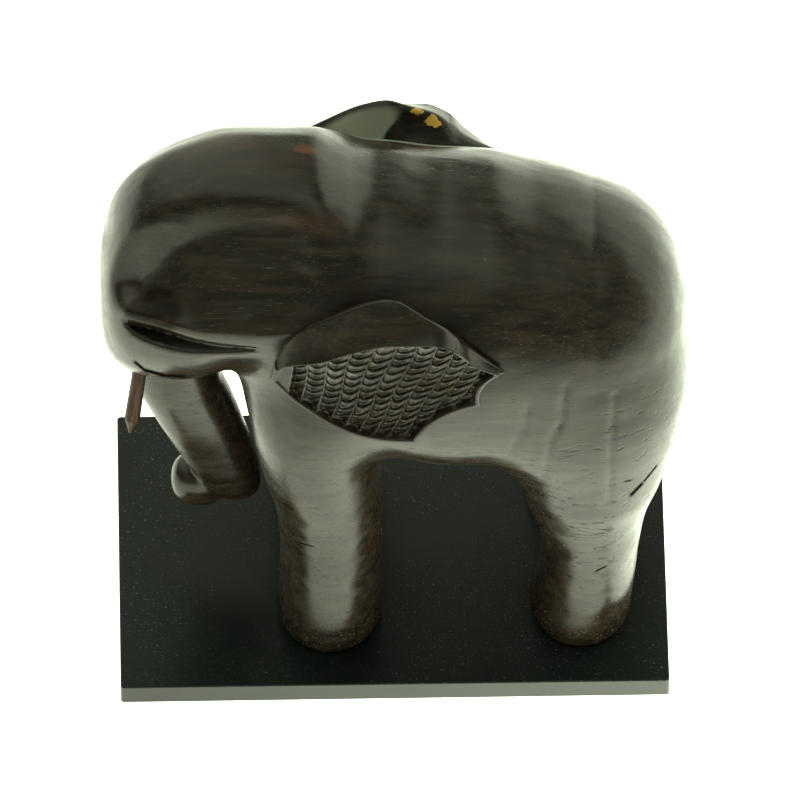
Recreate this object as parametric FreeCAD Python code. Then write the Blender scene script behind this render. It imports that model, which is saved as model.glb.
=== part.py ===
import FreeCAD, Part
import math
import os

# A carved wooden elephant that stands on a flat board.
# It is one carved block, with two tusk pegs let into its cheeks, held to the board by four screws from below.
# Millimetres. +Z is up, the elephant faces -X, and y = 0 is its plane of symmetry.
# The origin is the centre of the board's underside.

# The board
BASE_LENGTH = 220.0
BASE_WIDTH = 146.0
BASE_HEIGHT = 9.0
BASE_CORNER_RADIUS = 1.5
BASE_EDGE_RADIUS = 0.6

# The carving: rings across the body, as (x, centre height, half width, half height)
TORSO_RINGS = (
    (-60.0, 147.0, 20.0, 20.0),
    (-54.0, 149.0, 33.0, 34.0),
    (-38.0, 156.0, 51.0, 54.0),
    (-10.0, 160.5, 60.5, 63.5),
    (22.0, 154.5, 62.0, 64.0),
    (38.0, 153.0, 61.5, 62.5),
)
RUMP_START = 54.0
RUMP_END = 117.0
RUMP_HEIGHT = 147.5
RUMP_RADIUS = 60.5
RUMP_SQUARENESS = 2.6
RUMP_STEPS = (0.0, 0.4, 0.65, 0.82, 0.93, 0.99)
BELLY_SHARE = 0.86

# The head, from the flat forehead back into the shoulder
HEAD_RINGS = (
    (-115.5, 168.0, 14.0, 14.0),
    (-113.0, 169.5, 26.5, 27.5),
    (-107.0, 175.5, 36.5, 38.0),
    (-98.0, 180.0, 43.5, 45.0),
    (-84.0, 184.0, 47.5, 49.5),
    (-60.0, 190.5, 48.5, 50.0),
    (-32.0, 188.0, 50.0, 50.0),
    (-8.0, 178.0, 44.0, 42.0),
    (12.0, 166.0, 36.0, 36.0),
)

# The trunk hangs from the face and leans back, as (x, height, half depth, half width)
TRUNK_RINGS = (
    (-89.0, 162.0, 19.0, 18.5),
    (-89.0, 136.0, 17.5, 16.5),
    (-85.5, 114.0, 16.6, 15.6),
    (-79.0, 92.0, 15.6, 14.6),
    (-71.0, 72.0, 13.6, 12.8),
    (-66.5, 57.0, 11.0, 10.6),
    (-66.0, 44.5, 6.5, 6.5),
)
TRUNK_TIP = (-78.5, 0.0, 52.5)
TRUNK_TIP_RADIUS = 11.2

# Each leg, from the foot up into the body, as (height, x, y, half length, half width)
FRONT_LEG_RINGS = (
    (0.0, -25.7, 32.0, 21.0, 25.5),
    (28.0, -25.2, 31.2, 20.6, 24.4),
    (58.0, -25.4, 30.6, 21.2, 23.4),
    (88.0, -29.0, 31.4, 23.6, 25.6),
    (118.0, -31.0, 31.0, 25.5, 27.0),
    (146.0, -26.0, 27.0, 22.0, 24.0),
)
REAR_LEG_RINGS = (
    (0.0, 75.0, 32.0, 20.2, 24.4),
    (26.0, 77.8, 30.7, 19.4, 23.2),
    (52.0, 79.0, 30.5, 21.0, 23.2),
    (78.0, 78.0, 31.6, 28.2, 27.0),
    (108.0, 77.0, 32.0, 33.5, 28.0),
    (138.0, 74.0, 29.0, 34.0, 26.0),
)

# Each ear is a flap that stands off the shoulder, outlined in side view as (x, height)
EAR_UPPER = ((-49.0, 173.5), (-38.5, 197.0), (-13.0, 213.0), (-1.0, 216.2), (19.2, 204.8), (44.3, 179.5))
EAR_LOWER = ((34.0, 163.7), (8.3, 144.6))
EAR_FRONT = ((8.3, 144.6), (-6.3, 146.2), (-21.5, 152.3), (-49.0, 173.5))
EAR_INNER = 49.0
EAR_OUTER = 64.5

# The tail lies against the rump, as (x, height, half depth, half width)
TAIL_RINGS = (
    (109.0, 146.0, 3.0, 3.0),
    (113.0, 133.0, 3.6, 3.6),
    (112.0, 117.0, 3.8, 3.8),
    (107.5, 101.0, 4.4, 4.4),
    (104.5, 87.0, 2.0, 2.2),
)

# The tusk pegs
TUSK_ROOT = (-100.4, 23.4, 145.5)
TUSK_TIP = (-104.8, 27.0, 110.5)
TUSK_ROOT_RADIUS = 2.8
TUSK_WIDEST_RADIUS = 3.1
TUSK_POINT_LENGTH = 8.0
TUSK_POINT_RADIUS = 0.5
TENON_RADIUS = 2.2
TENON_LENGTH = 14.0
TENON_IN_PEG = 10.0

# The screws, one up into each foot
SCREW_LENGTH = 30.0
SCREW_RADIUS = 2.0
SCREW_HEAD_RADIUS = 4.0
SCREW_HEAD_RIM = 0.4
SCREW_RECESS = 0.6
SCREW_POINT_LENGTH = 4.0
SCREW_SLOT_WIDTH = 1.1
SCREW_SLOT_DEPTH = 1.2
CLEARANCE_RADIUS = 2.25

RING_POINTS = 16
UP = FreeCAD.Vector(0, 0, 1)
SIDEWAYS = FreeCAD.Vector(0, 1, 0)
LENGTHWISE = FreeCAD.Vector(1, 0, 0)


def ring(centre, first_axis, second_axis, first_half, second_half, lower_share=1.0):
    """A closed smooth oval round a centre, in the plane of two unit axes, flatter below by a share."""
    points = []
    for step in range(RING_POINTS):
        angle = 2 * math.pi * step / RING_POINTS
        rise = math.sin(angle) if step <= RING_POINTS / 2 else lower_share * math.sin(angle)
        along_first = first_axis * (first_half * math.cos(angle))
        along_second = second_axis * (second_half * rise)
        points.append(centre + along_first + along_second)
    curve = Part.BSplineCurve()
    curve.interpolate(Points=points, PeriodicFlag=True)
    return Part.Wire([curve.toShape()])


def body_loft(rows, lower_share=1.0):
    """A solid through upright rings that stand across the body."""
    wires = []
    for x, height, half_width, half_height in rows:
        centre = FreeCAD.Vector(x, 0, height)
        wires.append(ring(centre, SIDEWAYS, UP, half_width, half_height, lower_share))
    return Part.makeLoft(wires, True)


def hanging_loft(rows):
    """A solid through rings that stay square to a line in the plane of symmetry."""
    wires = []
    last = len(rows) - 1
    for index, (x, height, half_depth, half_width) in enumerate(rows):
        before = rows[max(index - 1, 0)]
        after = rows[min(index + 1, last)]
        direction = FreeCAD.Vector(after[0] - before[0], 0, after[1] - before[1]).normalize()
        across = direction.cross(SIDEWAYS)
        centre = FreeCAD.Vector(x, 0, height)
        wires.append(ring(centre, across, SIDEWAYS, half_depth, half_width))
    return Part.makeLoft(wires, True)


def mirrored(shape):
    return shape.mirror(FreeCAD.Vector(0, 0, 0), SIDEWAYS)


def leg(rows):
    wires = []
    for height, x, y, half_length, half_width in rows:
        centre = FreeCAD.Vector(x, -y, BASE_HEIGHT + height)
        wires.append(ring(centre, LENGTHWISE, SIDEWAYS, half_length, half_width))
    return Part.makeLoft(wires, True)


def torso():
    rows = list(TORSO_RINGS)
    for part_way in RUMP_STEPS:
        x = RUMP_START + part_way * (RUMP_END - RUMP_START)
        radius = RUMP_RADIUS * (1 - part_way ** RUMP_SQUARENESS) ** (1 / RUMP_SQUARENESS)
        rows.append((x, RUMP_HEIGHT, radius, radius))
    return body_loft(rows, BELLY_SHARE)


def trunk():
    tip = Part.makeSphere(TRUNK_TIP_RADIUS, FreeCAD.Vector(*TRUNK_TIP))
    return hanging_loft(TRUNK_RINGS).fuse(tip)


def smooth_edge(outline):
    curve = Part.BSplineCurve()
    curve.interpolate([FreeCAD.Vector(x, -EAR_OUTER, height) for x, height in outline])
    return curve.toShape()


def ear():
    """The near ear: a smooth top and front edge, and a scalloped rear edge of straight cuts."""
    edges = [smooth_edge(EAR_UPPER)]
    corners = (EAR_UPPER[-1],) + EAR_LOWER
    for start, end in zip(corners, corners[1:]):
        start_point = FreeCAD.Vector(start[0], -EAR_OUTER, start[1])
        end_point = FreeCAD.Vector(end[0], -EAR_OUTER, end[1])
        edges.append(Part.LineSegment(start_point, end_point).toShape())
    edges.append(smooth_edge(EAR_FRONT))
    face = Part.Face(Part.Wire(edges))
    return face.extrude(FreeCAD.Vector(0, EAR_OUTER - EAR_INNER, 0))


def tusk_direction():
    return (FreeCAD.Vector(*TUSK_TIP) - FreeCAD.Vector(*TUSK_ROOT)).normalize()


def right_tusk_piece(tenon_only=False):
    """The tusk on the +Y side, with the tenon that goes up into the cheek."""
    root = FreeCAD.Vector(*TUSK_ROOT)
    direction = tusk_direction()
    tenon_start = root - direction * TENON_LENGTH
    tenon = Part.makeCylinder(TENON_RADIUS, TENON_LENGTH + TENON_IN_PEG, tenon_start, direction)
    if tenon_only:
        return tenon
    length = (FreeCAD.Vector(*TUSK_TIP) - root).Length
    peg_length = length - TUSK_POINT_LENGTH
    peg = Part.makeCone(TUSK_ROOT_RADIUS, TUSK_WIDEST_RADIUS, peg_length, root, direction)
    point_start = root + direction * peg_length
    point = Part.makeCone(TUSK_WIDEST_RADIUS, TUSK_POINT_RADIUS, TUSK_POINT_LENGTH, point_start, direction)
    return tenon.fuse([peg, point]).removeSplitter()


def screw_places():
    front_x, front_y = FRONT_LEG_RINGS[0][1:3]
    rear_x, rear_y = REAR_LEG_RINGS[0][1:3]
    return {
        "screw_front_left": (front_x, -front_y),
        "screw_front_right": (front_x, front_y),
        "screw_rear_left": (rear_x, -rear_y),
        "screw_rear_right": (rear_x, rear_y),
    }


def screw_shank(place, radius):
    """The shank and its point, from the head's top up into the foot."""
    x, y = place
    shank_length = SCREW_LENGTH - SCREW_POINT_LENGTH
    shank = Part.makeCylinder(radius, shank_length, FreeCAD.Vector(x, y, SCREW_RECESS))
    point_foot = FreeCAD.Vector(x, y, SCREW_RECESS + shank_length)
    point = Part.makeCone(radius, radius / 8, SCREW_POINT_LENGTH, point_foot)
    return shank.fuse(point)


def screw_head(place, start):
    """A rim and a 90 degree cone under it, which seat in the board."""
    x, y = place
    rim_top = SCREW_RECESS + SCREW_HEAD_RIM
    rim = Part.makeCylinder(SCREW_HEAD_RADIUS, rim_top - start, FreeCAD.Vector(x, y, start))
    cone_height = SCREW_HEAD_RADIUS - SCREW_RADIUS
    cone = Part.makeCone(SCREW_HEAD_RADIUS, SCREW_RADIUS, cone_height, FreeCAD.Vector(x, y, rim_top))
    return rim.fuse(cone)


def screw(place):
    x, y = place
    body = screw_head(place, SCREW_RECESS).fuse(screw_shank(place, SCREW_RADIUS)).removeSplitter()
    slot_corner = FreeCAD.Vector(x - SCREW_HEAD_RADIUS, y - SCREW_SLOT_WIDTH / 2, SCREW_RECESS)
    slot = Part.makeBox(2 * SCREW_HEAD_RADIUS, SCREW_SLOT_WIDTH, SCREW_SLOT_DEPTH, slot_corner)
    return body.cut(slot)


def base_plate():
    corner = FreeCAD.Vector(-BASE_LENGTH / 2, -BASE_WIDTH / 2, 0)
    board = Part.makeBox(BASE_LENGTH, BASE_WIDTH, BASE_HEIGHT, corner)
    upright = [edge for edge in board.Edges if abs(edge.tangentAt(edge.FirstParameter).z) > 0.9]
    board = board.makeFillet(BASE_CORNER_RADIUS, upright)
    top = [edge for edge in board.Edges if edge.CenterOfMass.z > BASE_HEIGHT - 0.01]
    board = board.makeFillet(BASE_EDGE_RADIUS, top)
    for place in screw_places().values():
        x, y = place
        hole = Part.makeCylinder(CLEARANCE_RADIUS, BASE_HEIGHT, FreeCAD.Vector(x, y, 0))
        board = board.cut(hole.fuse(screw_head(place, 0.0)))
    return board


def carved_elephant():
    sides = [leg(FRONT_LEG_RINGS), leg(REAR_LEG_RINGS), ear()]
    sides += [mirrored(side) for side in sides]
    block = torso().fuse([body_loft(HEAD_RINGS), trunk(), hanging_loft(TAIL_RINGS)] + sides)
    tenon = right_tusk_piece(tenon_only=True)
    holes = [tenon, mirrored(tenon)]
    holes += [screw_shank(place, SCREW_RADIUS) for place in screw_places().values()]
    return block.cut(holes)


def make_pieces():
    block = carved_elephant()
    peg = right_tusk_piece()
    visible_peg = peg.cut(block)
    pieces = {
        "carved_elephant": block,
        "right_tusk": visible_peg,
        "left_tusk": mirrored(visible_peg),
        "base_plate": base_plate(),
    }
    for name, place in screw_places().items():
        pieces[name] = screw(place)
    return pieces


os.makedirs("parts", exist_ok=True)
for name, shape in make_pieces().items():
    shape.exportStep("parts/" + name + ".step")
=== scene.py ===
import math

import bpy
import numpy as np
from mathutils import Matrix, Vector


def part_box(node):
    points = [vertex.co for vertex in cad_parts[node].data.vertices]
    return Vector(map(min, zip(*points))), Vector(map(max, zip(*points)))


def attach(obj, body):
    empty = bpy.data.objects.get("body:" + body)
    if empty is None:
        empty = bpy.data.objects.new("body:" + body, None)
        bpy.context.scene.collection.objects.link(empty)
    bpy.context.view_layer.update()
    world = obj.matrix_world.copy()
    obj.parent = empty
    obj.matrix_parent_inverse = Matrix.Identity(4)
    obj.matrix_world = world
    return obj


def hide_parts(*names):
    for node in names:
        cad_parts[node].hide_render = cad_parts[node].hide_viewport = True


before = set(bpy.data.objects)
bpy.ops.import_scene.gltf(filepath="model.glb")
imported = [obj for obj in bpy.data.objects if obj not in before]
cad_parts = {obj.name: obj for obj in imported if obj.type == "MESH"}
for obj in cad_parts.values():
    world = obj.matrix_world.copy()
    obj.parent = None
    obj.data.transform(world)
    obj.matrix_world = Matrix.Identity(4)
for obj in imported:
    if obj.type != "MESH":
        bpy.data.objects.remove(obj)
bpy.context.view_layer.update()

# Lengths are millimetres until a mesh is made. x and y are the row's own; h is the height above the board.
MM = 0.001
BOARD_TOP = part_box("base_plate")[1].z / MM

# Mesh fineness, and the boxes that the shapes are made in, as (lowest corner, highest corner)
BLOCK_STEP = 1.52
BLOCK_BOX = ((-121.0, -70.0, -3 * BLOCK_STEP), (128.0, 70.0, 240.0))
EAR_STEP = 0.45
EAR_BOX = ((-53.0, -70.0, 131.0), (49.0, -40.0, 212.0))
RELAX_ROUNDS = 6

# How widely the parts of the block melt into each other
FRONT_AND_REAR_LEG_BLEND = 4.0
LEG_BLEND = 14.0
TAIL_BLEND = 3.0
HEAD_BLEND = 15.0
TRUNK_BLEND = 6.0
TRUNK_TIP_BLEND = 1.2
FOOT_ROUNDING = 3.0
TOP_FADE = 20.0

# Torso: (x, centre height, half width, half height), a rounded chest and rump, and a squarer, shallower belly
TORSO = (
    (-60.0, 138.0, 42.0, 42.0),
    (-38.0, 147.0, 53.0, 56.0),
    (-10.0, 151.5, 60.5, 63.5),
    (22.0, 145.5, 62.0, 64.0),
    (38.0, 145.0, 62.0, 62.5),
    (58.0, 140.5, 61.0, 61.0),
    (80.0, 137.5, 59.5, 59.5),
)
RUMP_START = 51.0
RUMP_LENGTH = 67.0
RUMP_POWER = 2.6
CHEST_START = -20.0
CHEST_LENGTH = 42.0
CHEST_POWER = 2.8
BELLY = (2.8, 0.84)

# Head: the same, with a rounded face and nape
HEAD = (
    (-116.0, 158.0, 49.0, 50.5),
    (-107.0, 166.5, 49.0, 50.5),
    (-98.0, 171.0, 49.0, 50.5),
    (-80.0, 176.5, 49.0, 51.0),
    (-62.0, 182.0, 48.5, 50.0),
    (-30.0, 178.5, 50.5, 50.0),
    (-5.0, 165.0, 50.0, 48.0),
)
HEAD_START = -62.0
HEAD_LENGTH = 54.0
HEAD_POWER = 3.0
NAPE_START = -34.0
NAPE_LENGTH = 40.0
NAPE_POWER = 2.2
CHEEK = (2.0, 1.0)


def smooth_curve(places, values):
    """A smooth line through values, with no overshoot between them, flat beyond the ends."""
    places = np.asarray(places, float)
    values = np.asarray(values, float)
    gaps = np.diff(places)
    rises = np.diff(values) / gaps
    slopes = np.zeros(len(values))
    product = rises[:-1] * rises[1:]
    total = rises[:-1] + rises[1:]
    slopes[1:-1] = np.where(product > 0, 2 * product / np.where(total == 0, 1, total), 0)
    slopes[0] = rises[0]
    slopes[-1] = rises[-1]

    def at(where):
        where = np.clip(where, places[0], places[-1])
        index = np.clip(np.searchsorted(places, where) - 1, 0, len(gaps) - 1)
        gap = gaps[index]
        t = (where - places[index]) / gap
        start = values[index] * (1 + 2 * t) * (1 - t) ** 2 + slopes[index] * gap * t * (1 - t) ** 2
        end = values[index + 1] * t * t * (3 - 2 * t) + slopes[index + 1] * gap * t * t * (t - 1)
        return start + end

    return at


def profile(rows):
    """One smooth curve for each column of a table, against its first column."""
    columns = list(zip(*rows))
    return [smooth_curve(columns[0], column) for column in columns[1:]]


def join(a, b, width):
    """Two shapes melted together over a width."""
    share = np.clip(0.5 + 0.5 * (b - a) / width, 0, 1)
    return b * (1 - share) + a * share - width * share * (1 - share)


def keep_both(a, b, width):
    return -join(-a, -b, width)


def step_up(value, low, high):
    t = np.clip((value - low) / (high - low), 0, 1)
    return t * t * (3 - 2 * t)


def bump(value, centre, width):
    return np.exp(-(((value - centre) / width) ** 2))


def oval_tube(x, y, h, curves, front, back, below, size):
    """A lofted oval body with a superelliptic front and back end.

    front and back are (place where the rounding starts, its length, its power).
    below is (power, share of the half height), for a squarer and shallower lower half."""
    centre, half_width, half_height = [curve(x) for curve in curves]
    lower = h < centre
    power = np.where(lower, below[0], 2.0)
    half_height = half_height * np.where(lower, below[1], 1.0)
    around = (np.abs(y / half_width) ** power + np.abs((h - centre) / half_height) ** power) ** (1 / power)
    to_front = np.clip((front[0] - x) / front[1], 0, None)
    to_back = np.clip((x - back[0]) / back[1], 0, None)
    power = np.where(to_front > 0, front[2], back[2])
    beyond = to_front + to_back
    whole = (beyond ** power + around ** power) ** (1 / power)
    return (whole - 1) * size


def capsule_chain(x, y, h, points, radii, width):
    """Distance to a string of tapered capsules, melted together."""
    result = None
    for start, end, start_radius, end_radius in zip(points, points[1:], radii, radii[1:]):
        along = [end[i] - start[i] for i in range(3)]
        length2 = sum(value * value for value in along)
        offset = [x - start[0], y - start[1], h - start[2]]
        t = (offset[0] * along[0] + offset[1] * along[1] + offset[2] * along[2]) / length2
        t = np.clip(t, 0, 1)
        gap2 = sum((offset[i] - t * along[i]) ** 2 for i in range(3))
        piece = np.sqrt(gap2) - (start_radius + t * (end_radius - start_radius))
        result = piece if result is None else join(result, piece, width)
    return result


def leg(x, y, h, rows):
    """An upright leg: rows are (height, x, distance from the middle, half length, half width)."""
    centre_x, centre_y, half_length, half_width = [curve(h) for curve in profile(rows)]
    around = np.sqrt(((x - centre_x) / half_length) ** 2 + ((np.abs(y) - centre_y) / half_width) ** 2)
    return keep_both((around - 1) * np.minimum(half_length, half_width), h - rows[-1][0], TOP_FADE)


FRONT_LEG = (
    (0.0, -25.7, 32.0, 20.2, 25.0),
    (5.0, -25.7, 32.0, 21.4, 25.8),
    (18.0, -25.3, 31.5, 20.8, 25.8),
    (40.0, -25.0, 31.0, 20.4, 25.0),
    (62.0, -25.5, 30.8, 21.4, 25.2),
    (90.0, -29.2, 31.5, 23.6, 26.8),
    (120.0, -31.2, 32.0, 25.6, 28.0),
    (150.0, -27.0, 28.0, 23.0, 26.0),
)
REAR_LEG = (
    (0.0, 75.0, 32.0, 19.2, 24.0),
    (6.0, 75.0, 32.0, 20.6, 24.8),
    (20.0, 77.3, 31.2, 19.4, 25.2),
    (34.0, 78.5, 31.0, 19.4, 24.8),
    (50.0, 79.0, 31.0, 20.6, 25.0),
    (66.0, 78.0, 31.0, 24.5, 26.6),
    (84.0, 78.0, 32.0, 30.0, 28.4),
    (110.0, 77.0, 33.0, 35.0, 29.0),
    (140.0, 74.0, 30.0, 36.0, 28.0),
)
# Trunk: (height, x, half length, half width), then the rounded lobe in front of its end
TRUNK = (
    (34.0, -62.5, 9.5, 8.5),
    (44.0, -64.5, 11.8, 10.5),
    (54.0, -67.5, 13.4, 11.8),
    (68.0, -72.2, 15.0, 13.2),
    (89.0, -79.6, 16.6, 15.0),
    (108.0, -86.0, 17.2, 15.8),
    (126.0, -89.0, 17.8, 16.6),
    (152.0, -89.0, 20.0, 19.0),
)
TRUNK_SQUARENESS = 2.4
TRUNK_END = 37.0
TRUNK_END_ROUNDING = 7.0
TIP_CENTRE = (-77.2, 0.0, 43.8)
TIP_RADII = (11.4, 10.2, 10.4)
TIP_SQUARENESS = 2.5
TAIL_LINE = (
    (111.5, 0.0, 132.0),
    (113.4, 0.0, 122.0),
    (112.0, 0.0, 108.0),
    (107.5, 0.0, 92.0),
    (104.5, 0.0, 78.0),
)
TAIL_RADII = (3.0, 3.6, 3.8, 4.4, 2.2)


def hanging_trunk(x, y, h):
    centre_x, half_length, half_width = [curve(h) for curve in profile(TRUNK)]
    power = TRUNK_SQUARENESS
    around = (np.abs((x - centre_x) / half_length) ** power + np.abs(y / half_width) ** power) ** (1 / power)
    trunk = (around - 1) * half_width
    trunk = keep_both(trunk, TRUNK_END - h, TRUNK_END_ROUNDING)
    return keep_both(trunk, h - TRUNK[-1][0], TOP_FADE)


def egg(x, y, h, centre, radii, power):
    """A rounded block, from an oval ball at power 2 to squarer at higher powers."""
    offsets = [(value - middle) / radius for value, middle, radius in zip((x, y, h), centre, radii)]
    around = sum(np.abs(offset) ** power for offset in offsets) ** (1 / power)
    return (around - 1) * min(radii)


# Carved details, placed by x and by slant, which is how far up a 48 degree slope a point of the flank lies
SLANT_UP = math.sin(math.radians(42))
SLANT_IN = math.cos(math.radians(42))
TEMPLE_TOP = ((-116.0, 112.0), (-104.0, 130.0), (-88.0, 146.0), (-68.0, 152.0), (-46.0, 148.0),
              (-28.0, 136.0), (-8.0, 118.0))
TEMPLE_FOOT = ((-116.0, 97.5), (-99.5, 94.6), (-90.7, 92.0), (-79.6, 88.0), (-68.5, 85.8), (-56.0, 84.8),
               (-44.0, 85.2), (-27.0, 89.0), (-10.0, 94.0))
# Depth against the share of the way up, then the x where the hollow starts, is whole, fades and ends
TEMPLE_PROFILE = ((0.0, 0.0), (0.07, 2.8), (0.14, 5.2), (0.22, 7.3), (0.31, 9.1), (0.42, 10.2), (0.55, 9.4),
                  (0.7, 6.6), (0.86, 2.6), (1.0, 0.0))
TEMPLE_ENDS = (-113.5, -99.0, -44.0, -14.0)
RIGHT_TEMPLE_SHARE = 0.25
EYE_TOP = ((-108.0, 93.4), (-99.5, 91.4), (-90.6, 88.9), (-79.6, 85.2), (-68.5, 82.7), (-57.5, 81.2),
           (-50.0, 80.2))
EYE_FOOT = ((-108.0, 92.6), (-101.6, 86.1), (-95.0, 82.8), (-87.3, 80.2), (-79.6, 78.9), (-68.5, 78.4),
            (-57.5, 78.9), (-50.0, 79.8))
EYE_STEEPNESS = 0.85
EYE_WALL_SHARE = 0.13
NAPE_WAVES = ((0.3, -11.0, 6.0), (-0.3, -19.0, 4.0))
# Long tool marks on the thigh, as (depth, width, line)
GROOVES = (
    (0.40, 1.2, ((53.0, 56.0), (50.5, 46.0), (46.2, 38.8))),
    (0.65, 1.2, ((67.5, 63.4), (66.0, 50.0), (61.5, 42.0), (60.0, 28.8))),
    (0.55, 1.2, ((87.2, 60.0), (87.0, 54.2), (86.0, 40.0), (85.4, 18.5))),
)
# Thin dark lines painted on the left side, as (start, end, half width): painted shade in the thigh crease and
# the lip groove, then three small cracks
CREASE_SHADE_AND_CRACKS = (
    ((93.6, 19.6), (99.2, 25.4), 0.75),
    ((98.8, 25.0), (105.0, 32.4), 0.45),
    ((-103.2, 76.4), (-98.0, 72.0), 0.8),
    ((-99.8, 72.9), (-90.0, 70.1), 1.1),
    ((-93.0, 70.4), (-82.0, 69.8), 0.8),
    ((80.0, -10.4), (85.0, -8.0), 0.35),
    ((91.0, 25.6), (94.5, 26.2), 0.3),
    ((-38.0, 3.0), (-32.0, 1.2), 0.3),
)


def between(x, slant, top_line, foot_line):
    """How far up a place is between two lines, from 0 to 1, and the distance between the lines."""
    top = smooth_curve(*zip(*top_line))(x)
    foot = smooth_curve(*zip(*foot_line))(x)
    return np.clip((slant - foot) / np.maximum(top - foot, 0.05), 0, 1), top - foot


def hollow(x, slant):
    """Depth of the temple, which slopes in above the brow and comes back out towards the crown."""
    across, _ = between(x, slant, TEMPLE_TOP, TEMPLE_FOOT)
    start, full, fading, end = TEMPLE_ENDS
    along = step_up(x, start, full) * (1 - step_up(x, fading, end))
    return smooth_curve(*zip(*TEMPLE_PROFILE))(across) * along


def eye_cut(x, slant):
    """Depth of the eye, which slopes in from its foot and stops at a steep wall under its top."""
    across, width = between(x, slant, EYE_TOP, EYE_FOOT)
    front, back = EYE_TOP[0][0], EYE_TOP[-1][0]
    ends = step_up(x, front, front + 4) * (1 - step_up(x, back - 6, back))
    slope = np.minimum(across / (1 - EYE_WALL_SHARE), (1 - across) / EYE_WALL_SHARE)
    return EYE_STEEPNESS * width * slope * ends


def groove_along(x, slant, line, width):
    """1 on a line, falling to 0 beside it."""
    nearest = None
    for start, end in zip(line, line[1:]):
        run = (end[0] - start[0], end[1] - start[1])
        t = ((x - start[0]) * run[0] + (slant - start[1]) * run[1]) / (run[0] ** 2 + run[1] ** 2)
        t = np.clip(t, 0, 1)
        gap2 = (x - start[0] - t * run[0]) ** 2 + (slant - start[1] - t * run[1]) ** 2
        nearest = gap2 if nearest is None else np.minimum(nearest, gap2)
    return np.exp(-nearest / width ** 2)


def carved_depth(x, y, h):
    """How deep the carver's details go in, in millimetres."""
    side = np.abs(y)
    slant = SLANT_UP * h - SLANT_IN * side
    on_side = step_up(side, 12.0, 24.0)
    depth = hollow(x, slant) * np.where(y < 0, 1.0, RIGHT_TEMPLE_SHARE)
    depth = depth + eye_cut(x, slant)
    for deepest, width, line in GROOVES:
        depth = depth + deepest * groove_along(x, slant, line, width)
    on_nape = step_up(h, 190.0, 205.0)
    waves = sum(height * bump(x, centre, width) for height, centre, width in NAPE_WAVES)
    return depth * on_side + on_nape * waves


def block_shape(x, y, z):
    """The carved block, as a field that is negative in the wood. Lengths in millimetres."""
    h = z - BOARD_TOP
    torso = oval_tube(x, y, h, profile(TORSO), (CHEST_START, CHEST_LENGTH, CHEST_POWER),
                      (RUMP_START, RUMP_LENGTH, RUMP_POWER), BELLY, 61.0)
    head = oval_tube(x, y, h, profile(HEAD), (HEAD_START, HEAD_LENGTH, HEAD_POWER),
                     (NAPE_START, NAPE_LENGTH, NAPE_POWER), CHEEK, 50.0)
    legs = join(leg(x, y, h, FRONT_LEG), leg(x, y, h, REAR_LEG), FRONT_AND_REAR_LEG_BLEND)
    tip = egg(x, y, h, TIP_CENTRE, TIP_RADII, TIP_SQUARENESS)
    trunk = join(hanging_trunk(x, y, h), tip, TRUNK_TIP_BLEND)
    tail = capsule_chain(x, y, h, TAIL_LINE, TAIL_RADII, TAIL_BLEND)
    whole = join(torso, legs, LEG_BLEND)
    whole = join(whole, tail, TAIL_BLEND)
    whole = join(whole, head, HEAD_BLEND)
    whole = join(whole, trunk, TRUNK_BLEND)
    return keep_both(whole + carved_depth(x, y, h), -h, FOOT_ROUNDING)


# The left ear, outlined in side view as (x, h). Its rear edge is three points with scooped cuts between them.
EAR_CREST = ((-49.0, 164.5), (-45.6, 177.0), (-38.1, 188.2), (-26.6, 196.3), (-11.2, 205.0), (-1.4, 207.2),
             (6.5, 204.2), (19.2, 195.8), (28.1, 184.5), (36.5, 176.5), (44.3, 170.5))
EAR_POINTS = ((44.3, 170.5), (34.0, 154.7), (8.3, 135.6))
EAR_CUT_SAGS = (-4.6, -5.0)
EAR_FOOT = ((8.3, 135.6), (-6.3, 137.2), (-21.5, 143.3), (-34.1, 151.8), (-41.8, 157.6), (-49.0, 164.5))
# y of the ear's face and of its rim, against x
EAR_FACE = ((-50.0, -57.0), (-40.0, -61.5), (-28.0, -64.5), (-10.0, -66.0), (12.0, -66.0), (30.0, -64.5),
            (46.0, -60.5))
EAR_FACE_LEAN = 0.012
EAR_RIM_Y = ((-50.0, -53.5), (-38.0, -53.2), (-20.0, -53.6), (10.0, -54.6), (30.0, -57.5), (46.0, -60.5))
RIM_THICKNESS = 2.2
EAR_BACK_SLOPE = 0.62
PIT_CENTRE = (6.5, 192.0)
PIT_RADII = (14.0, 9.5)
PIT_DEPTH = 8.0
EAR_DEEPEST = -42.0
# The field of gouge cuts: its upper edge, then columns of cuts with ridges between them
FIELD_TOP = ((-46.0, 172.0), (-43.0, 175.5), (-27.8, 182.5), (-15.2, 189.2), (-1.4, 192.6), (14.0, 192.6),
             (24.3, 187.6), (31.0, 179.0), (42.0, 169.5))
RIM_WIDTH = 1.5
FIELD_RECESS = 0.9
COLUMN_START = -42.0
COLUMN_PITCH = 8.0
COLUMN_LEAN = (0.06, 0.0058)
COLUMN_HEIGHT = 182.0
COLUMN_DEPTH = 2.2
CUT_PITCH = 4.1
CUT_DEPTH = 1.25
CUT_SAG = 5.0


def smooth_line(points, samples):
    """A Catmull-Rom line through points."""
    padded = [points[0]] + list(points) + [points[-1]]
    line = []
    for a, b, c, d in zip(padded, padded[1:], padded[2:], padded[3:]):
        for step in range(samples):
            t = step / samples
            place = []
            for i in range(2):
                square = 2 * a[i] - 5 * b[i] + 4 * c[i] - d[i]
                cube = 3 * b[i] - a[i] - 3 * c[i] + d[i]
                place.append(0.5 * (2 * b[i] + (c[i] - a[i]) * t + square * t * t + cube * t ** 3))
            line.append(place)
    return line


def bowed_line(start, end, sag, samples):
    """A shallow arc from start to end."""
    run = (end[0] - start[0], end[1] - start[1])
    length = math.hypot(*run)
    side = (-run[1] / length, run[0] / length)
    line = []
    for step in range(samples):
        t = step / samples
        out = 4 * sag * t * (1 - t)
        line.append([start[0] + run[0] * t + side[0] * out, start[1] + run[1] * t + side[1] * out])
    return line


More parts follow.
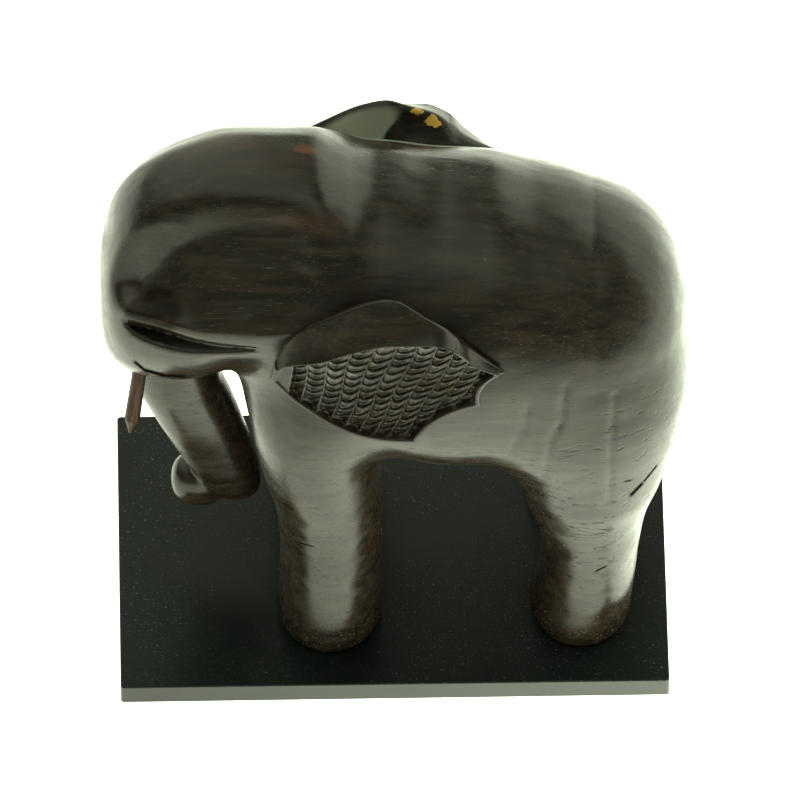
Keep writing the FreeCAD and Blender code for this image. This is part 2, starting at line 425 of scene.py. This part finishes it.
def ear_outline():
    line = smooth_line(EAR_CREST, 6)
    for start, end, sag in zip(EAR_POINTS, EAR_POINTS[1:], EAR_CUT_SAGS):
        line += bowed_line(start, end, sag, 10)
    return line + smooth_line(EAR_FOOT, 6)


def outline_distance(x, h, line):
    """Signed distance to a closed line in side view, negative inside."""
    nearest = None
    inside = False
    for start, end in zip(line, line[1:] + line[:1]):
        run = (end[0] - start[0], end[1] - start[1])
        t = ((x - start[0]) * run[0] + (h - start[1]) * run[1]) / max(run[0] ** 2 + run[1] ** 2, 1e-9)
        t = np.clip(t, 0, 1)
        gap2 = (x - start[0] - t * run[0]) ** 2 + (h - start[1] - t * run[1]) ** 2
        nearest = gap2 if nearest is None else np.minimum(nearest, gap2)
        spans = (h >= start[1]) != (h >= end[1])
        crossing = start[0] + (h - start[1]) * run[0] / (run[1] if run[1] else 1e-9)
        inside = inside ^ (spans & (x < crossing))
    return np.sqrt(nearest) * np.where(inside, -1, 1)


def gouge_cuts(x, h):
    """Depth of the rows of gouge cuts on an ear, in millimetres below the ridges between them."""
    rise = h - COLUMN_HEIGHT
    x = x + 0.5 * np.sin(0.16 * h + 0.1 * x)
    lean, spread = COLUMN_LEAN
    foot = (x - (lean - spread * COLUMN_START) * rise) / (1 + spread * rise)
    column = (foot - COLUMN_START) / COLUMN_PITCH
    index = np.floor(column)
    across = 2 * (column - index) - 1
    channel = np.clip(1 - across ** 2, 0, 1)
    phase = 2.1 * np.sin(12.9 * index + 4.0)
    wander = 0.5 * np.sin(0.21 * h + 2.3 * index)
    cut = (h + CUT_SAG * channel + phase + wander) / (CUT_PITCH * (1 + 0.06 * np.sin(5.1 * index)))
    row = np.floor(cut)
    up = cut - row
    uneven = 1 + 0.22 * np.sin(7.7 * row + 3.1 * index)
    saw = np.where(up > 0.16, (1 - up) / 0.84, up / 0.16)
    depth = COLUMN_DEPTH * channel ** 0.8 + CUT_DEPTH * uneven * saw * channel ** 0.5
    return depth * step_up(foot, COLUMN_START + 1.0, COLUMN_START + 4.0)


def ear_shape(x, y, z):
    """The left ear, as a field that is negative in the wood."""
    h = z - BOARD_TOP
    edge = outline_distance(x, h, OUTLINE)
    face = smooth_curve(*zip(*EAR_FACE))(x) + EAR_FACE_LEAN * (h - EAR_FOOT[0][1])
    rim = smooth_curve(*zip(*EAR_RIM_Y))(x)
    top = smooth_curve(*zip(*FIELD_TOP))(x)
    crest = smooth_curve(*zip(*EAR_CREST))(x)
    scoop = np.clip((h - top) / np.maximum(crest - top, 2.0), 0, 1.2) ** 0.85
    outer = face + (rim - face) * scoop
    in_field = step_up(-edge, RIM_WIDTH, RIM_WIDTH + 0.9) * step_up(top - h, 0.3, 1.3)
    outer = outer + in_field * (FIELD_RECESS + gouge_cuts(x, h) * step_up(-edge, 1.6, 3.0))
    pit = ((x - PIT_CENTRE[0]) / PIT_RADII[0]) ** 2 + ((h - PIT_CENTRE[1]) / PIT_RADII[1]) ** 2
    back = rim + RIM_THICKNESS + EAR_BACK_SLOPE * (crest - h) - PIT_DEPTH * np.exp(-pit)
    back = np.clip(back, None, EAR_DEEPEST)
    wood = keep_both(outer - y, edge, 1.0)
    return keep_both(wood, y - back, 3.0)


OUTLINE = ear_outline()


def surface_net(values, low, step):
    """Vertices and quads of the surface where a grid of values changes sign."""
    inside = values < 0
    counts = [size - 1 for size in values.shape]
    corner_sum = np.zeros(counts, np.int8)
    for i in (0, 1):
        for j in (0, 1):
            for k in (0, 1):
                corner_sum += inside[i:counts[0] + i, j:counts[1] + j, k:counts[2] + k]
    cells = np.argwhere((corner_sum > 0) & (corner_sum < 8))
    ids = np.full(counts, -1, np.int32)
    ids[tuple(cells.T)] = np.arange(len(cells))
    total = np.zeros((len(cells), 3))
    hits = np.zeros(len(cells))
    for axis in range(3):
        others = [a for a in range(3) if a != axis]
        for i in (0, 1):
            for j in (0, 1):
                start = cells.copy()
                start[:, others[0]] += i
                start[:, others[1]] += j
                end = start.copy()
                end[:, axis] += 1
                a = values[tuple(start.T)]
                b = values[tuple(end.T)]
                crossing = (a < 0) != (b < 0)
                share = np.where(crossing, a / np.where(crossing, a - b, 1), 0)
                point = start.astype(float)
                point[:, axis] += share
                total += point * crossing[:, None]
                hits += crossing
    points = total / hits[:, None] * step + np.asarray(low)
    faces = []
    for axis in range(3):
        first, second = [(1, 2), (2, 0), (0, 1)][axis]
        near = [slice(0, size) for size in values.shape]
        far = [slice(0, size) for size in values.shape]
        near[axis] = slice(0, values.shape[axis] - 1)
        far[axis] = slice(1, values.shape[axis])
        changes = np.argwhere(inside[tuple(near)] != inside[tuple(far)])
        fits = (changes[:, first] > 0) & (changes[:, second] > 0)
        fits &= (changes[:, first] < counts[first]) & (changes[:, second] < counts[second])
        changes = changes[fits]
        quad = []
        for step_first, step_second in ((-1, -1), (0, -1), (0, 0), (-1, 0)):
            cell = changes.copy()
            cell[:, first] += step_first
            cell[:, second] += step_second
            quad.append(ids[tuple(cell.T)])
        quad = np.stack(quad, 1)
        outward = inside[tuple(changes.T)]
        quad[~outward] = quad[~outward][:, ::-1]
        faces.append(quad)
    return points, np.concatenate(faces)


def settle(points, faces, shape, step, rounds):
    """Evens out the mesh and puts each vertex on the shape's surface."""
    edges = np.concatenate([faces[:, [i, (i + 1) % 4]] for i in range(4)])
    nudge = 0.05 * step
    for _ in range(rounds):
        total = np.zeros_like(points)
        count = np.zeros(len(points))
        for side in (0, 1):
            other = points[edges[:, 1 - side]]
            for axis in range(3):
                total[:, axis] += np.bincount(edges[:, side], other[:, axis], len(points))
            count += np.bincount(edges[:, side], minlength=len(points))
        points = points + 0.5 * (total / count[:, None] - points)
        value = shape(*points.T)
        slope = np.empty_like(points)
        for axis in range(3):
            ahead = points.copy()
            ahead[:, axis] += nudge
            slope[:, axis] = (shape(*ahead.T) - value) / nudge
        size2 = np.maximum((slope ** 2).sum(1), 0.05)
        shift = -value[:, None] * slope / size2[:, None]
        length = np.linalg.norm(shift, axis=1)
        shift *= np.minimum(1, 0.6 * step / np.maximum(length, 1e-9))[:, None]
        points = points + shift
    return points


def sculpt(shape, box, step):
    """Vertices and quads of a shape, in millimetres. The box is given from the board's top."""
    lift = (0.0, 0.0, BOARD_TOP)
    low, high = [[value + up for value, up in zip(corner, lift)] for corner in box]
    axes = [np.arange(low[i], high[i] + step, step) for i in range(3)]
    x, y, z = np.meshgrid(*axes, indexing="ij", sparse=True)
    values = shape(x, y, z)
    points, faces = surface_net(values, low, step)
    return settle(points, faces, shape, step, RELAX_ROUNDS), faces


def add_mesh(name, points, faces, material):
    mesh = bpy.data.meshes.new(name)
    mesh.from_pydata((np.asarray(points) * MM).tolist(), [], np.asarray(faces).tolist())
    mesh.validate()
    mesh.update()
    mesh.polygons.foreach_set("use_smooth", [True] * len(mesh.polygons))
    mesh.materials.append(material)
    piece = bpy.data.objects.new(name, mesh)
    bpy.context.scene.collection.objects.link(piece)
    return piece


def plain_material(name, colour, roughness):
    material = bpy.data.materials.new(name)
    material.use_nodes = True
    shader = material.node_tree.nodes["Principled BSDF"]
    shader.inputs["Base Color"].default_value = (*colour, 1)
    shader.inputs["Roughness"].default_value = roughness
    return material


# The surround's brightness on the camera's side, against the sine of the height above level
SKY = ((0.0, 0.42), (0.10, 0.12), (0.22, 0.055), (0.45, 0.035), (0.72, 0.055), (0.92, 0.20), (1.0, 0.26))
SKY_STRENGTH = 4.0
SKY_LIFT_BEHIND = 0.9
SKY_DROP_BEHIND_RIGHT = -4.2
LIGHT_TINT = (0.92, 1.0, 0.78)

# The floor glows more towards +X, and less far away. Glows as (start, end), reaches in metres.
FLOOR_SIZE = 3.0
FLOOR_DROP = 0.3
GLOW_ACROSS = (1.8, 4.3)
GLOW_ACROSS_REACH = (-0.1, 0.25)
GLOW_SHARE = (1.0, 0.45)
GLOW_SHARE_REACH = (0.17, 0.7)

# The camera, in degrees, metres for its distance, and millimetres for the rest
CAMERA_ELEVATION = 48.0
CAMERA_TURN = 1.06
CAMERA_DISTANCE = 8.8
CAMERA_TARGET = (4.1, 44.1, 39.7 + BOARD_TOP)
CAMERA_LENS = 983.0
CAMERA_SENSOR = 36.0


class Paint:
    """Short ways to add and join shader nodes."""

    def __init__(self, name):
        self.material = bpy.data.materials.new(name)
        self.material.use_nodes = True
        self.tree = self.material.node_tree
        self.shader = self.tree.nodes["Principled BSDF"]
        self.place = self.node("ShaderNodeTexCoord").outputs["Object"]

    def node(self, kind, **settings):
        made = self.tree.nodes.new(kind)
        for name, value in settings.items():
            setattr(made, name, value)
        return made

    def put(self, socket, value):
        if isinstance(value, bpy.types.NodeSocket):
            self.tree.links.new(value, socket)
        else:
            socket.default_value = value

    def stretched(self, scale, turn=(0, 0, 0)):
        made = self.node("ShaderNodeMapping")
        self.put(made.inputs["Vector"], self.place)
        made.inputs["Scale"].default_value = scale
        made.inputs["Rotation"].default_value = turn
        return made.outputs["Vector"]

    def noise(self, vector, scale, detail=3.0, roughness=0.5, distortion=0.0):
        made = self.node("ShaderNodeTexNoise")
        self.put(made.inputs["Vector"], vector)
        made.inputs["Scale"].default_value = scale
        made.inputs["Detail"].default_value = detail
        made.inputs["Roughness"].default_value = roughness
        made.inputs["Distortion"].default_value = distortion
        return made.outputs["Fac"]

    def ramp(self, value, low, high, out_low=0.0, out_high=1.0):
        made = self.node("ShaderNodeMapRange", interpolation_type="SMOOTHSTEP")
        self.put(made.inputs["Value"], value)
        made.inputs["From Min"].default_value = low
        made.inputs["From Max"].default_value = high
        made.inputs["To Min"].default_value = out_low
        made.inputs["To Max"].default_value = out_high
        return made.outputs["Result"]

    def math(self, operation, first, second):
        made = self.node("ShaderNodeMath", operation=operation)
        self.put(made.inputs[0], first)
        self.put(made.inputs[1], second)
        return made.outputs["Value"]

    def mix(self, share, first, second):
        made = self.node("ShaderNodeMix", data_type="RGBA")
        self.put(made.inputs["Factor"], share)
        self.put(made.inputs[6], first if isinstance(first, bpy.types.NodeSocket) else (*first, 1))
        self.put(made.inputs[7], second if isinstance(second, bpy.types.NodeSocket) else (*second, 1))
        return made.outputs[2]

    def near(self, centre, radii):
        """1 at a point, falling to 0 at an oval round it. Millimetres above the board."""
        made = self.node("ShaderNodeMapping", vector_type="POINT")
        self.put(made.inputs["Vector"], self.place)
        scale = [1 / (radius * MM) for radius in radii]
        place = (centre[0], centre[1], centre[2] + BOARD_TOP)
        made.inputs["Scale"].default_value = scale
        made.inputs["Location"].default_value = [-c * MM * k for c, k in zip(place, scale)]
        length = self.node("ShaderNodeVectorMath", operation="LENGTH")
        self.put(length.inputs[0], made.outputs["Vector"])
        return self.ramp(length.outputs["Value"], 1.0, 0.0)

    def along(self, direction, middle):
        """Distance from a middle, along a direction."""
        made = self.node("ShaderNodeVectorMath", operation="DOT_PRODUCT")
        self.put(made.inputs[0], self.place)
        made.inputs[1].default_value = direction
        return self.math("ABSOLUTE", self.math("SUBTRACT", made.outputs["Value"], middle * MM), 0.0)

    def seam(self, start, end, half_width):
        """1 on a straight dark line of the left side, from start to end, each (x, slant)."""
        length = math.hypot(end[0] - start[0], end[1] - start[1])
        run = ((end[0] - start[0]) / length, (end[1] - start[1]) / length)
        masks = []
        middle = [(start[i] + end[i]) / 2 for i in range(2)]
        for first, second, reach in ((*run, length / 2), (-run[1], run[0], half_width)):
            soft = min(1.2, 0.6 * reach)
            direction = (first, second * SLANT_IN, second * SLANT_UP)
            offset = first * middle[0] + second * (middle[1] + SLANT_UP * BOARD_TOP)
            masks.append(self.ramp(self.along(direction, offset), (reach + soft) * MM, (reach - soft) * MM))
        return self.math("MULTIPLY", *masks)

    def bumps(self, layers):
        """Bump layers, each (height, depth in millimetres)."""
        normal = None
        for height, depth in layers:
            made = self.node("ShaderNodeBump")
            made.inputs["Distance"].default_value = depth * MM
            made.inputs["Strength"].default_value = 1.0
            self.put(made.inputs["Height"], height)
            if normal is not None:
                self.put(made.inputs["Normal"], normal)
            normal = made.outputs["Normal"]
        self.put(self.shader.inputs["Normal"], normal)


def stained_wood():
    """Dark stain over a reddish wood, polished, with pores, small cracks, and dust near the board, painted
    shade in the thigh crease and lip groove, and a painted pale reflection on the right ear and neck.
    """
    paint = Paint("stained_wood")
    grain = paint.noise(paint.stretched((25, 260, 260)), 1.0, 5.0, 0.6, 0.4)
    pores = paint.noise(paint.stretched((110, 1500, 1500)), 1.0, 2.0, 0.5)
    cloud = paint.noise(paint.place, 28.0, 4.0, 0.6)
    blotch = paint.noise(paint.stretched((14, 30, 30)), 1.0, 3.0, 0.55, 0.3)
    dark = (0.011, 0.0082, 0.0056)
    brown = (0.034, 0.0225, 0.0125)
    red = (0.075, 0.026, 0.012)
    bare = (0.95, 0.54, 0.10)
    colour = paint.mix(paint.ramp(grain, 0.35, 0.68), dark, brown)
    warm = paint.math("MULTIPLY", paint.ramp(blotch, 0.52, 0.68), paint.ramp(cloud, 0.4, 0.62))
    head_warmth = paint.near((-52, 0, 232), (75, 60, 45))
    warm = paint.math("MULTIPLY", warm, paint.math("ADD", paint.math("MULTIPLY", head_warmth, 0.9), 0.10))
    colour = paint.mix(warm, colour, red)
    pore_mask = paint.ramp(pores, 0.64, 0.72)
    colour = paint.mix(paint.math("MULTIPLY", pore_mask, 0.55), colour, (0.006, 0.004, 0.003))
    fine = paint.noise(paint.place, 160.0, 3.0, 0.6)
    first_chip = paint.near((12.6, 51.5, 198.6), (7, 6, 9))
    second_chip = paint.near((18.0, 52.5, 194), (9.5, 6, 5.5))
    ragged = paint.math("MULTIPLY", paint.math("SUBTRACT", fine, 0.5), 1.2)
    chip = paint.ramp(paint.math("ADD", paint.math("MAXIMUM", first_chip, second_chip), ragged), 0.30, 0.36)
    # Painted reflection: a pale grey-green sheen on the right ear's inner face and the neck beside it, kept
    # out of the hollow at the back of the ear
    pit = paint.near((6.5, 46, 190), (20, 14, 9))
    painted_reflection = paint.math("SUBTRACT", paint.near((0, 45, 199), (54, 9.5, 25)), pit)
    colour = paint.mix(paint.ramp(painted_reflection, 0.02, 0.3, 0.0, 0.85), colour, (0.42, 0.43, 0.35))
    colour = paint.mix(chip, colour, bare)
    spot = paint.ramp(paint.near((-34, 8, 228), (9, 5, 9)), 0.25, 0.7)
    colour = paint.mix(paint.math("MULTIPLY", spot, 0.7), colour, (0.17, 0.045, 0.012))
    wear = paint.noise(paint.stretched((40, 90, 90)), 1.0, 4.0, 0.65)
    gloss = paint.ramp(wear, 0.3, 0.75, 0.20, 0.36)
    paint.put(paint.shader.inputs["Roughness"], paint.math("ADD", gloss, paint.math("MULTIPLY", chip, 0.3)))
    split = paint.node("ShaderNodeSeparateXYZ")
    paint.put(split.inputs["Vector"], paint.place)
    height = paint.math("ADD", split.outputs["Z"], paint.math("MULTIPLY", cloud, 0.012))
    foot = paint.ramp(height, (BOARD_TOP + 31.0) * MM, (BOARD_TOP + 12.0) * MM)
    left_ear = paint.near((-2, -65, 163), (54, 4.5, 36))
    right_ear = paint.near((-2, 65, 163), (54, 4.5, 36))
    temple = paint.near((-97, -40, 187), (21, 17, 19))
    trunk_tip = paint.near((-75, -7, 40), (10, 10, 10))
    ears = paint.math("MAXIMUM", left_ear, right_ear)
    dull = paint.math("MAXIMUM", foot, paint.ramp(ears, 0.05, 0.3, 0.0, 0.62))
    dull = paint.math("MAXIMUM", dull, paint.ramp(temple, 0.05, 0.5))
    dull = paint.math("MAXIMUM", dull, paint.ramp(trunk_tip, 0.1, 0.5, 0.0, 0.8))
    specks = paint.ramp(paint.noise(paint.place, 1100.0, 2.0, 0.6), 0.62, 0.70)
    low = paint.ramp(height, (BOARD_TOP + 45.0) * MM, (BOARD_TOP + 5.0) * MM, 0.0, 0.5)
    dusty = paint.math("MULTIPLY", specks, low)
    colour = paint.mix(dusty, colour, (0.30, 0.30, 0.28))
    # Painted shade in the thigh crease and the lip groove, and three small dark cracks, all without shine, on
    # the left side only
    crease_shade_and_cracks = 0.0
    for start, end, half_width in CREASE_SHADE_AND_CRACKS:
        crease_shade_and_cracks = paint.math("MAXIMUM", crease_shade_and_cracks, paint.seam(start, end, half_width))
    crease_shade_and_cracks = paint.math("MULTIPLY", crease_shade_and_cracks, paint.ramp(split.outputs["Y"], -0.004, -0.008))
    colour = paint.mix(paint.math("MULTIPLY", crease_shade_and_cracks, 0.9), colour, (0.004, 0.0032, 0.0025))
    paint.put(paint.shader.inputs["Base Color"], colour)
    off_dark_lines = paint.math("SUBTRACT", 1.0, crease_shade_and_cracks)
    shine = paint.math("MULTIPLY", paint.ramp(dull, 0.0, 1.0, 0.5, 0.12), off_dark_lines)
    paint.put(paint.shader.inputs["Specular IOR Level"], shine)
    facets = paint.noise(paint.stretched((45, 70, 70)), 1.0, 1.0, 0.4)
    nicks = paint.ramp(paint.noise(paint.stretched((90, 420, 420), (0, 0.25, 0)), 1.0, 1.0, 0.4), 0.64, 0.70)
    rear = paint.near((80, -40, 95), (60, 60, 85))
    nicks = paint.math("MULTIPLY", nicks, paint.ramp(rear, 0.05, 0.5))
    nicks_down = paint.math("MULTIPLY", nicks, -1.0)
    pores_down = paint.math("MULTIPLY", pore_mask, -1.0)
    paint.bumps([(facets, 0.6), (nicks_down, 0.16), (grain, 0.08), (pores_down, 0.05)])
    return paint.material


def reddish_peg():
    paint = Paint("reddish_peg")
    grain = paint.noise(paint.stretched((700, 700, 60)), 1.0, 4.0, 0.6, 0.5)
    colour = paint.mix(paint.ramp(grain, 0.35, 0.7), (0.030, 0.012, 0.007), (0.085, 0.034, 0.018))
    paint.put(paint.shader.inputs["Base Color"], colour)
    paint.put(paint.shader.inputs["Specular IOR Level"], paint.ramp(grain, 0.3, 0.7, 0.10, 0.18))
    paint.put(paint.shader.inputs["Roughness"], paint.ramp(grain, 0.3, 0.7, 0.34, 0.48))
    paint.bumps([(grain, 0.12)])
    return paint.material


def painted_board():
    """Black paint over wood, with faint grain and dust, and its sides painted a little lighter as painted
    light.
    """
    paint = Paint("painted_board")
    grain = paint.noise(paint.stretched((18, 420, 420)), 1.0, 4.0, 0.6, 0.3)
    cloud = paint.noise(paint.place, 22.0, 4.0, 0.6)
    specks = paint.noise(paint.place, 900.0, 2.0, 0.6)
    dust = paint.math("MULTIPLY", paint.ramp(specks, 0.63, 0.72), paint.ramp(cloud, 0.36, 0.64, 0.08, 0.6))
    colour = paint.mix(paint.ramp(cloud, 0.3, 0.7), (0.0095, 0.0135, 0.0122), (0.0150, 0.0200, 0.0188))
    colour = paint.mix(dust, colour, (0.30, 0.31, 0.30))
    split = paint.node("ShaderNodeSeparateXYZ")
    paint.put(split.inputs["Vector"], paint.place)
    # Painted light: the sides get a lighter colour than the top, and more shine
    top = paint.ramp(split.outputs["Z"], (BOARD_TOP - 0.9) * MM, (BOARD_TOP - 0.5) * MM)
    colour = paint.mix(top, (0.022, 0.025, 0.020), colour)
    paint.put(paint.shader.inputs["Base Color"], colour)
    paint.put(paint.shader.inputs["Specular IOR Level"], paint.ramp(top, 0.0, 1.0, 0.6, 0.2))
    paint.put(paint.shader.inputs["Roughness"], paint.ramp(cloud, 0.3, 0.7, 0.30, 0.45))
    paint.bumps([(grain, 0.05), (paint.noise(paint.place, 300.0, 3.0, 0.6), 0.04)])
    return paint.material


def zinc_screw():
    paint = Paint("zinc_screw")
    brushed = paint.noise(paint.stretched((900, 900, 200)), 1.0, 3.0, 0.6)
    paint.put(paint.shader.inputs["Base Color"], paint.mix(brushed, (0.42, 0.41, 0.38), (0.62, 0.61, 0.58)))
    paint.shader.inputs["Metallic"].default_value = 1.0
    paint.put(paint.shader.inputs["Roughness"], paint.ramp(brushed, 0.3, 0.7, 0.25, 0.45))
    paint.bumps([(brushed, 0.02)])
    return paint.material


def dress(node, material):
    """Puts a material on a CAD node."""
    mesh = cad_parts[node].data
    mesh.materials.clear()
    mesh.materials.append(material)


def add_camera():
    """A long lens, well above level, on the elephant's left side."""
    elevation = math.radians(CAMERA_ELEVATION)
    turn = math.radians(CAMERA_TURN)
    target = Vector(CAMERA_TARGET) * MM
    level = math.cos(elevation)
    back = Vector((-math.sin(turn) * level, -math.cos(turn) * level, math.sin(elevation)))
    data = bpy.data.cameras.new("camera")
    data.lens = CAMERA_LENS
    data.sensor_width = CAMERA_SENSOR
    data.clip_end = 50
    camera = bpy.data.objects.new("camera", data)
    camera.location = target + back * CAMERA_DISTANCE
    camera.rotation_euler = (-back).to_track_quat("-Z", "Y").to_euler()
    bpy.context.scene.collection.objects.link(camera)
    bpy.context.scene.camera = camera


def build_block(material):
    points, faces = sculpt(block_shape, BLOCK_BOX, BLOCK_STEP)
    piece = add_mesh("carved_block", points, faces, material)
    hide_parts("carved_elephant")
    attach(piece, "root")


def build_ears(material):
    """The left ear, and the right ear as its mirror image."""
    points, faces = sculpt(ear_shape, EAR_BOX, EAR_STEP)
    mirrored = points * (1, -1, 1)
    for name, places, loops in (("left_ear", points, faces), ("right_ear", mirrored, faces[:, ::-1])):
        piece = add_mesh(name, places, loops, material)
        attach(piece, "root")


def math_node(tree, operation, *values):
    """A math node fed by sockets and numbers."""
    made = tree.nodes.new("ShaderNodeMath")
    made.operation = operation
    for socket, value in zip(made.inputs, values):
        if isinstance(value, bpy.types.NodeSocket):
            tree.links.new(value, socket)
        else:
            socket.default_value = value
    return made.outputs["Value"]


def line_between(tree, value, reach, results):
    """A straight ramp from one result to another over a reach, flat beyond it."""
    made = tree.nodes.new("ShaderNodeMapRange")
    tree.links.new(value, made.inputs["Value"])
    made.inputs["From Min"].default_value, made.inputs["From Max"].default_value = reach
    made.inputs["To Min"].default_value, made.inputs["To Max"].default_value = results
    return made.outputs["Result"]


def add_stage():
    """A pale floor just under the board."""
    size = FLOOR_SIZE
    under = -FLOOR_DROP * MM
    mesh = bpy.data.meshes.new("floor")
    corners = [(-size, -size, under), (size, -size, under), (size, size, under), (-size, size, under)]
    mesh.from_pydata(corners, [], [(0, 1, 2, 3)])
    material = plain_material("floor", (0.9, 0.9, 0.9), 0.8)
    shader = material.node_tree.nodes["Principled BSDF"]
    shader.inputs["Emission Color"].default_value = (*LIGHT_TINT, 1)
    tree = material.node_tree
    place = tree.nodes.new("ShaderNodeTexCoord").outputs["Object"]
    split = tree.nodes.new("ShaderNodeSeparateXYZ")
    tree.links.new(place, split.inputs["Vector"])
    reach = tree.nodes.new("ShaderNodeVectorMath")
    reach.operation = "LENGTH"
    tree.links.new(place, reach.inputs[0])
    across = line_between(tree, split.outputs["X"], GLOW_ACROSS_REACH, GLOW_ACROSS)
    share = line_between(tree, reach.outputs["Value"], GLOW_SHARE_REACH, GLOW_SHARE)
    tree.links.new(math_node(tree, "MULTIPLY", across, share), shader.inputs["Emission Strength"])
    mesh.materials.append(material)
    floor = bpy.data.objects.new("floor", mesh)
    bpy.context.scene.collection.objects.link(floor)


def add_light():
    """A surround bright at level and dark above it on the camera's side, paler overhead and behind."""
    world = bpy.data.worlds.new("studio")
    world.use_nodes = True
    tree = world.node_tree
    ground = tree.nodes["Background"]
    place = tree.nodes.new("ShaderNodeTexCoord").outputs["Generated"]
    split = tree.nodes.new("ShaderNodeSeparateXYZ")
    tree.links.new(place, split.inputs["Vector"])
    behind = math_node(tree, "MAXIMUM", split.outputs["Y"], 0.0)
    right = math_node(tree, "MAXIMUM", split.outputs["X"], 0.0)
    corner = math_node(tree, "MULTIPLY", right, behind)
    lowered = math_node(tree, "MULTIPLY_ADD", corner, SKY_DROP_BEHIND_RIGHT, split.outputs["Z"])
    raised = math_node(tree, "MULTIPLY_ADD", behind, SKY_LIFT_BEHIND, lowered)
    sky = tree.nodes.new("ShaderNodeValToRGB")
    tree.links.new(raised, sky.inputs["Fac"])
    stops = sky.color_ramp.elements
    while len(stops) > 1:
        stops.remove(stops[-1])
    for index, (height, strength) in enumerate(SKY):
        stop = stops[0] if index == 0 else stops.new(height)
        stop.position = height
        stop.color = (*[strength * tint for tint in LIGHT_TINT], 1)
    tree.links.new(sky.outputs["Color"], ground.inputs["Color"])
    ground.inputs["Strength"].default_value = SKY_STRENGTH
    bpy.context.scene.world = world


def set_look():
    bpy.context.scene.view_settings.view_transform = "Standard"


wood = stained_wood()
build_block(wood)
build_ears(wood)
dress("base_plate", painted_board())
for tusk in ("left_tusk", "right_tusk"):
    dress(tusk, reddish_peg())
screw_finish = zinc_screw()
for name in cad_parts:
    if name.startswith("screw_"):
        dress(name, screw_finish)
add_stage()
add_light()
add_camera()
set_look()
